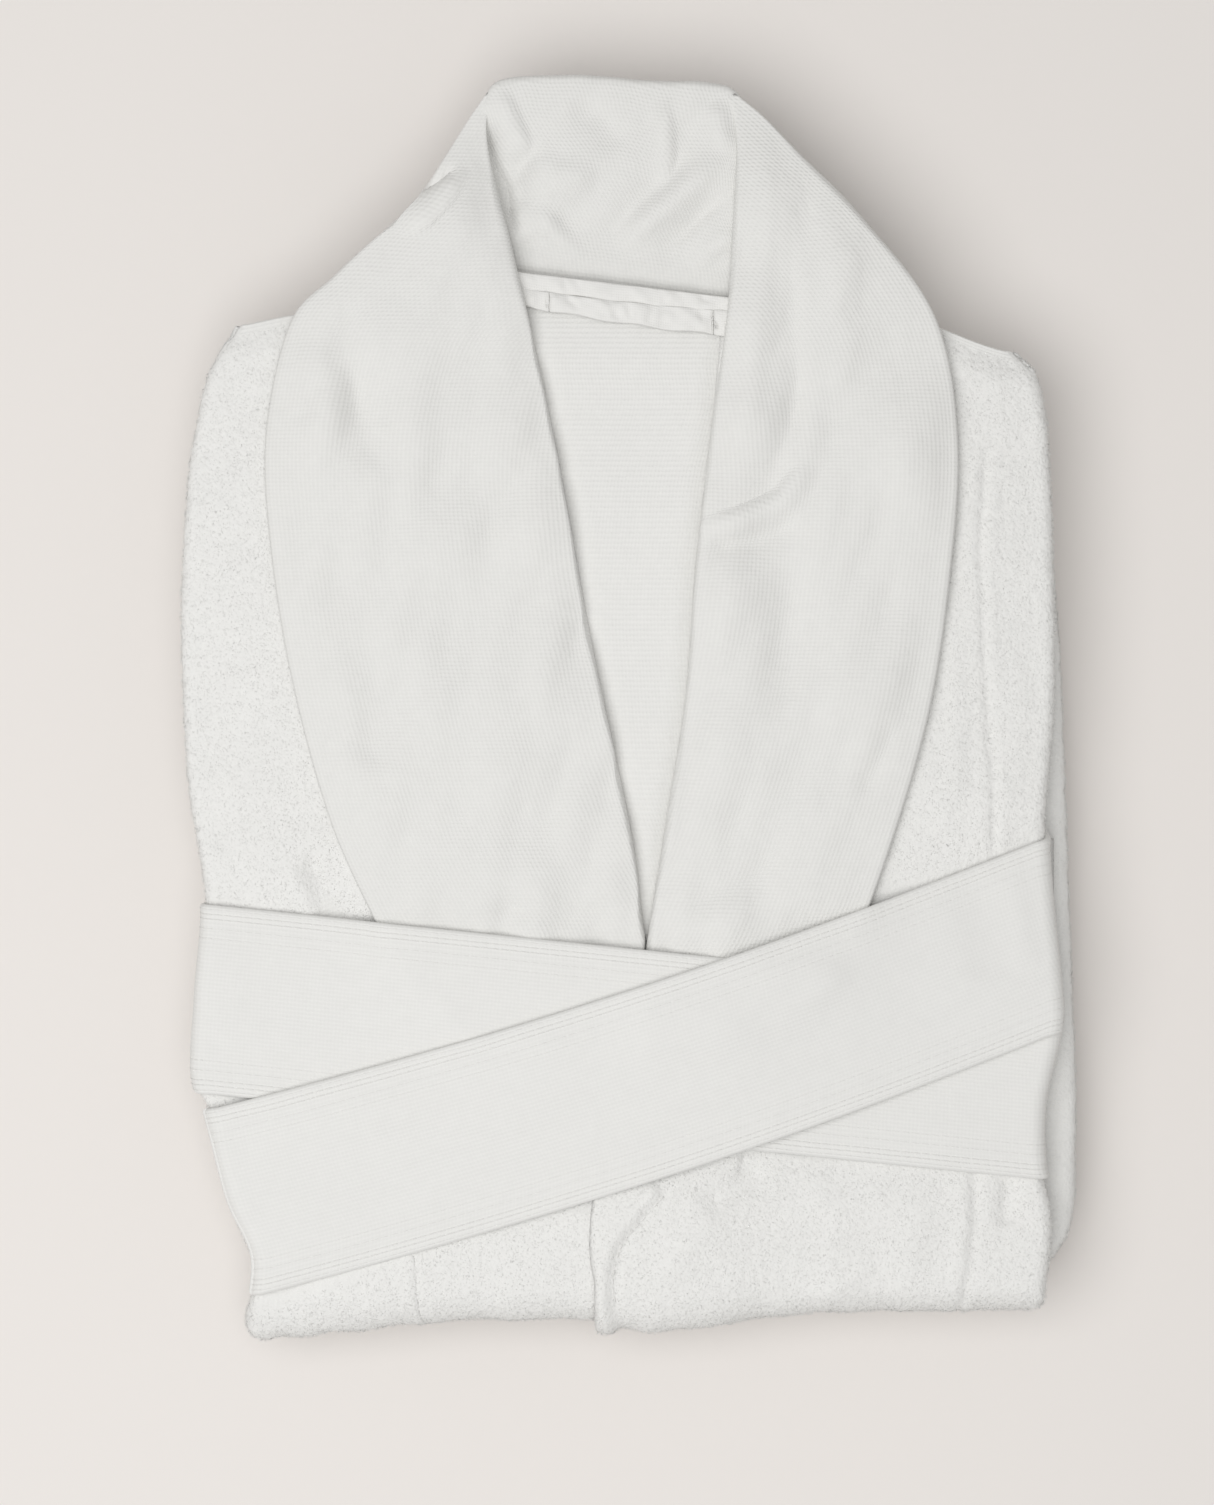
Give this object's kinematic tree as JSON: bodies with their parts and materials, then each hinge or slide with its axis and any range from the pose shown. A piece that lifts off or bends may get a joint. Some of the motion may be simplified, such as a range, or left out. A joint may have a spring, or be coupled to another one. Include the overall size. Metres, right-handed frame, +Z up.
{
  "type": "bathrobe",
  "caption": "Folded white terry bathrobe with ribbed shawl collar, tied with its cloth belt; the skirt, sleeves, lapels, belt tail and hanger loop move.",
  "frame": {"origin": "middle of the folded package's underside, on the face it rests on", "axes": "+X to the package's right seen from above, +Y towards the collar, +Z up out of the rest face"},
  "size_m": [0.3212, 0.445, 0.0578],
  "materials": {
    "terry": "white cotton terry, looped pile",
    "ribbed": "white ribbed cotton, sheared pile",
    "belt_cloth": "white ribbed cotton with rows of topstitching",
    "tape": "white woven twill tape"
  },
  "bodies": {
    "skirt_lower": {"skirt_lower_back": "terry", "skirt_lower_left_front": "terry", "skirt_lower_right_front": "terry"},
    "skirt_middle": {"skirt_middle_back": "terry", "skirt_middle_left_front": "terry", "skirt_middle_right_front": "terry", "left_pocket": "terry", "right_pocket": "terry"},
    "bodice": {"bodice_back": "terry", "bodice_left_front": "terry", "bodice_right_front": "terry", "left_pocket_mouth": "terry", "undercollar_back": "ribbed", "collar_facing_back": "ribbed", "neck_tape": "tape", "left_lapel_end": "ribbed", "right_lapel_end": "ribbed", "hanger_loop_bartacks": "tape", "belt_under_strand": "belt_cloth", "belt_back_run": "belt_cloth", "left_belt_loop": "belt_cloth", "right_belt_loop": "belt_cloth"},
    "left_lapel": {"left_lapel_undercollar": "ribbed", "left_lapel_facing": "ribbed"},
    "right_lapel": {"right_lapel_undercollar": "ribbed", "right_lapel_facing": "ribbed"},
    "hanger_loop": {"hanger_loop": "tape"},
    "belt_tail": {"belt_top_strand": "belt_cloth"},
    "left_sleeve": {"left_sleeve": "terry", "left_cuff": "ribbed"},
    "right_sleeve": {"right_sleeve": "terry", "right_cuff": "ribbed"}
  },
  "joints": [
    {"name": "skirt_unfold", "type": "hinge", "parent": "skirt_lower", "child": "skirt_middle", "pos_m": [0, 0.132, 0.0144], "axis": [-1, 0, 0], "range_deg": [0, 179.5]},
    {"name": "bodice_unfold", "type": "hinge", "parent": "skirt_middle", "child": "bodice", "pos_m": [0, -0.212, 0.0288], "axis": [1, 0, 0], "range_deg": [0, 179.5]},
    {"name": "left_lapel_turn", "type": "hinge", "parent": "bodice", "child": "left_lapel", "pos_m": [0.001, -0.07, 0.0503], "axis": [-0.1933, 0.9811, 0], "range_deg": [0, 90]},
    {"name": "right_lapel_turn", "type": "hinge", "parent": "bodice", "child": "right_lapel", "pos_m": [0.012, -0.07, 0.0503], "axis": [-0.0999, -0.995, 0], "range_deg": [0, 90]},
    {"name": "hanger_loop_swing", "type": "hinge", "parent": "bodice", "child": "hanger_loop", "pos_m": [0.0005, 0.1499, 0.0448], "axis": [-0.9925, 0.1219, 0], "range_deg": [0, 150]},
    {"name": "belt_tail_lift", "type": "hinge", "parent": "bodice", "child": "belt_tail", "pos_m": [0.1608, -0.083, 0.0532], "axis": [0, 1, 0], "range_deg": [0, 170]},
    {"name": "left_sleeve_spread", "type": "hinge", "parent": "bodice", "child": "left_sleeve", "pos_m": [-0.1, 0.093, 0.0312], "axis": [0, 0, -1], "range_deg": [0, 90]},
    {"name": "right_sleeve_spread", "type": "hinge", "parent": "bodice", "child": "right_sleeve", "pos_m": [0.1, 0.093, 0.0312], "axis": [0, 0, 1], "range_deg": [0, 90]}
  ],
  "couplings": [
    {"joint": "bodice_unfold", "follows": "skirt_unfold", "ratio": 1}
  ]
}
